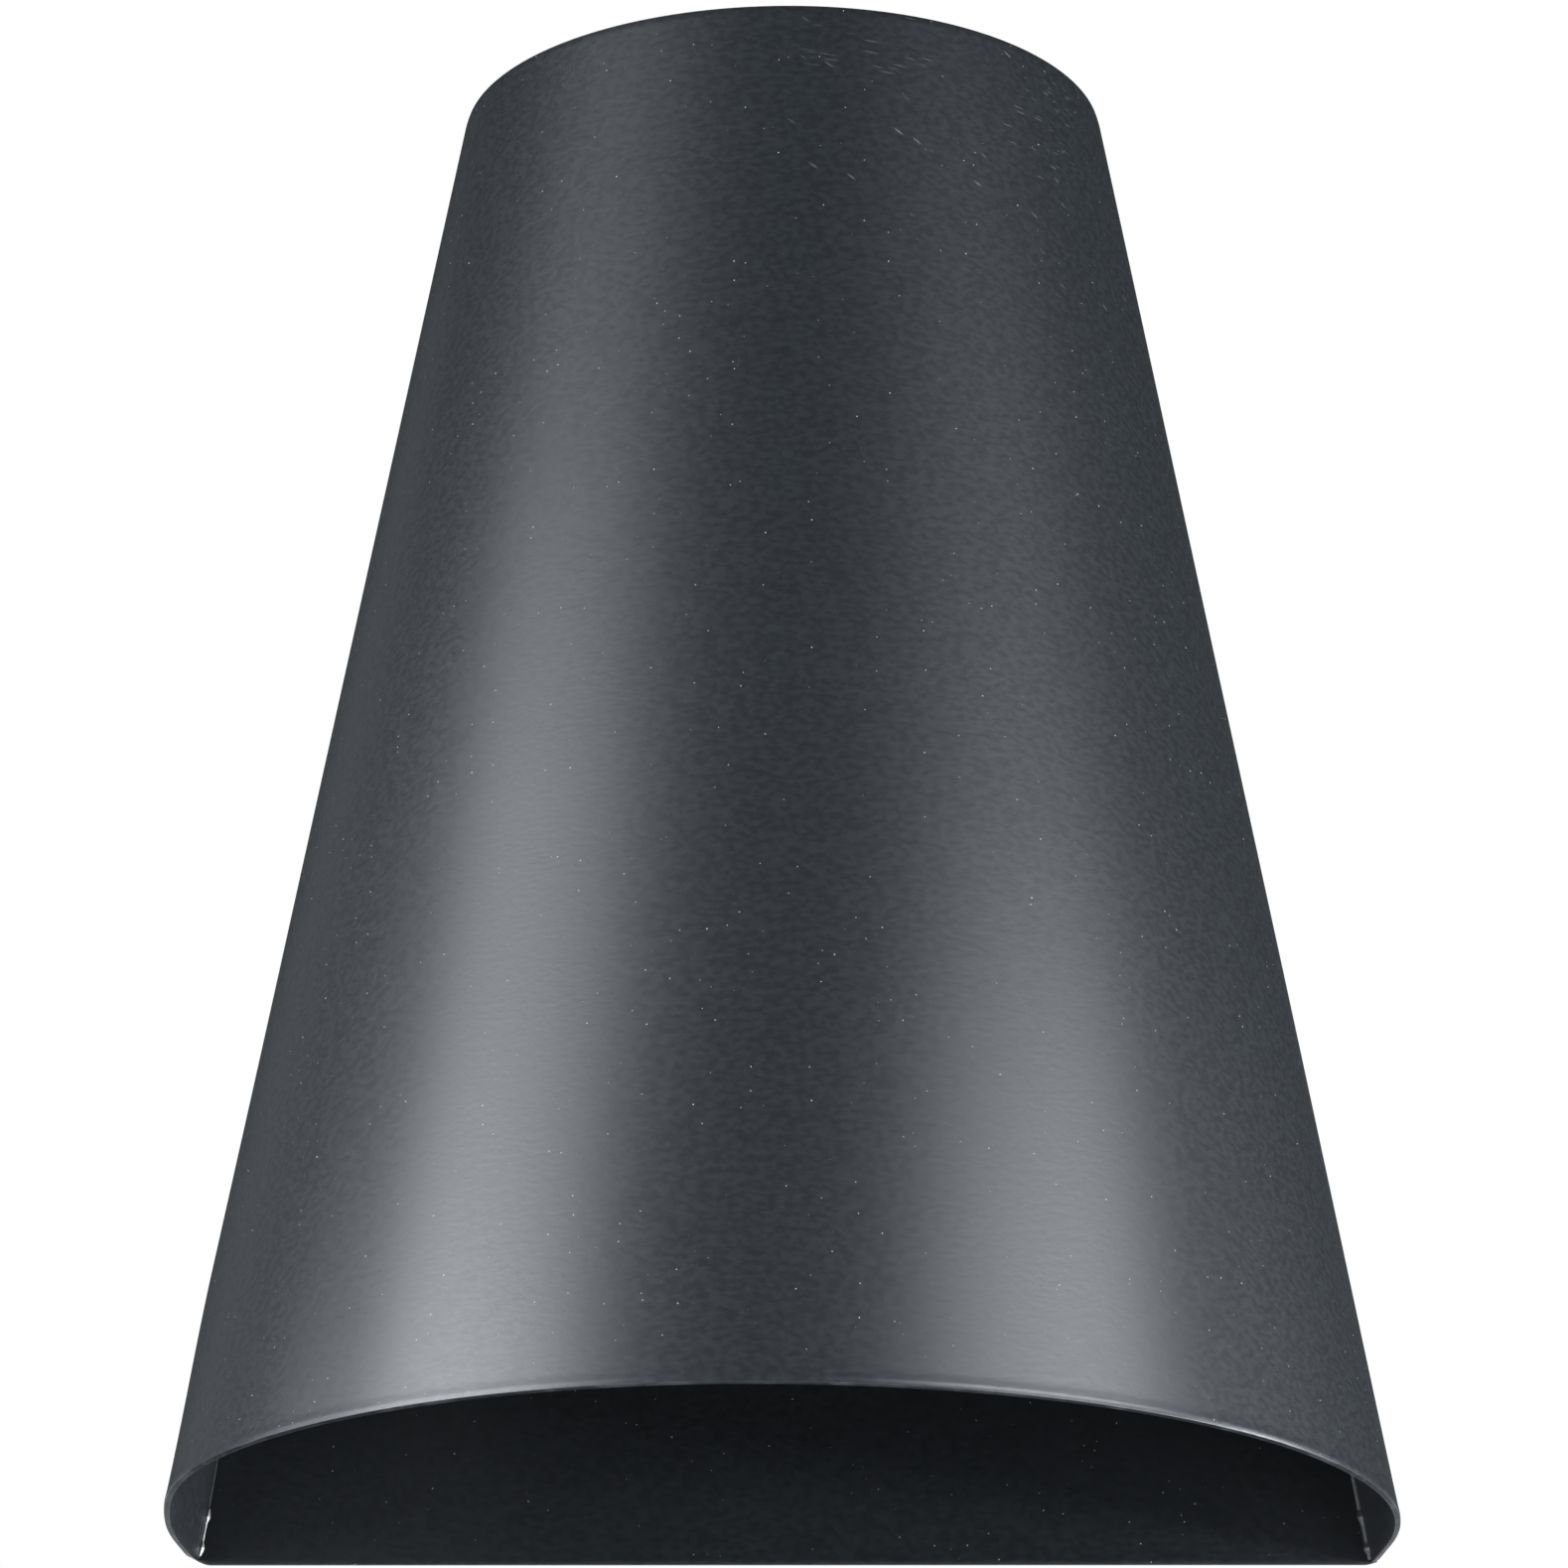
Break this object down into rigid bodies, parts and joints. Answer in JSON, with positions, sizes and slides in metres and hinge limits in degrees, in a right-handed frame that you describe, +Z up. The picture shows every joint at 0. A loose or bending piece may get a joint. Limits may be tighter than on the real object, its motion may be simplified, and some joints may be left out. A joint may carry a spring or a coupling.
{
  "type": "snoot",
  "caption": "Half-round sheet-steel snoot with a flat back: light enters its narrow top and leaves its wide mouth. It hangs on keyholes and locks with a knob.",
  "frame": {"origin": "midway between the centres of the two keyhole entry holes, on the back face of the back panel", "axes": "+Z up along the hood from its mouth to its top, +Y out of the flat back towards the lamp head, +X across the back, the rounded front towards -Y"},
  "size_m": [0.3, 0.1963, 0.374],
  "materials": {
    "powder_coat": "satin near-black powder coat with a fine orange peel",
    "zinc_plate": "bright zinc plate",
    "knob_plastic": "fine spark-textured moulding"
  },
  "bodies": {
    "hood": {"front_shell": "powder_coat", "back_panel": "powder_coat", "left_seam_welds": "powder_coat", "right_seam_welds": "powder_coat", "hanger_plate": "powder_coat", "hanger_rivets": "powder_coat", "lock_bush": "zinc_plate"},
    "washer": {"lock_washer": "zinc_plate"},
    "knob": {"lock_stud": "zinc_plate", "lock_knob": "knob_plastic"}
  },
  "joints": [
    {"name": "lock_travel", "type": "slide", "parent": "hood", "child": "washer", "axis": [0, -1, 0], "range_m": [0, 0.008]},
    {"name": "lock_turn", "type": "hinge", "parent": "washer", "child": "knob", "pos_m": [0, -0.0132, -0.18], "axis": [0, -1, 0], "range_deg": [0, 2880]}
  ],
  "couplings": [
    {"joint": "lock_turn", "follows": "lock_travel", "rad_per_m": 6283.2}
  ]
}
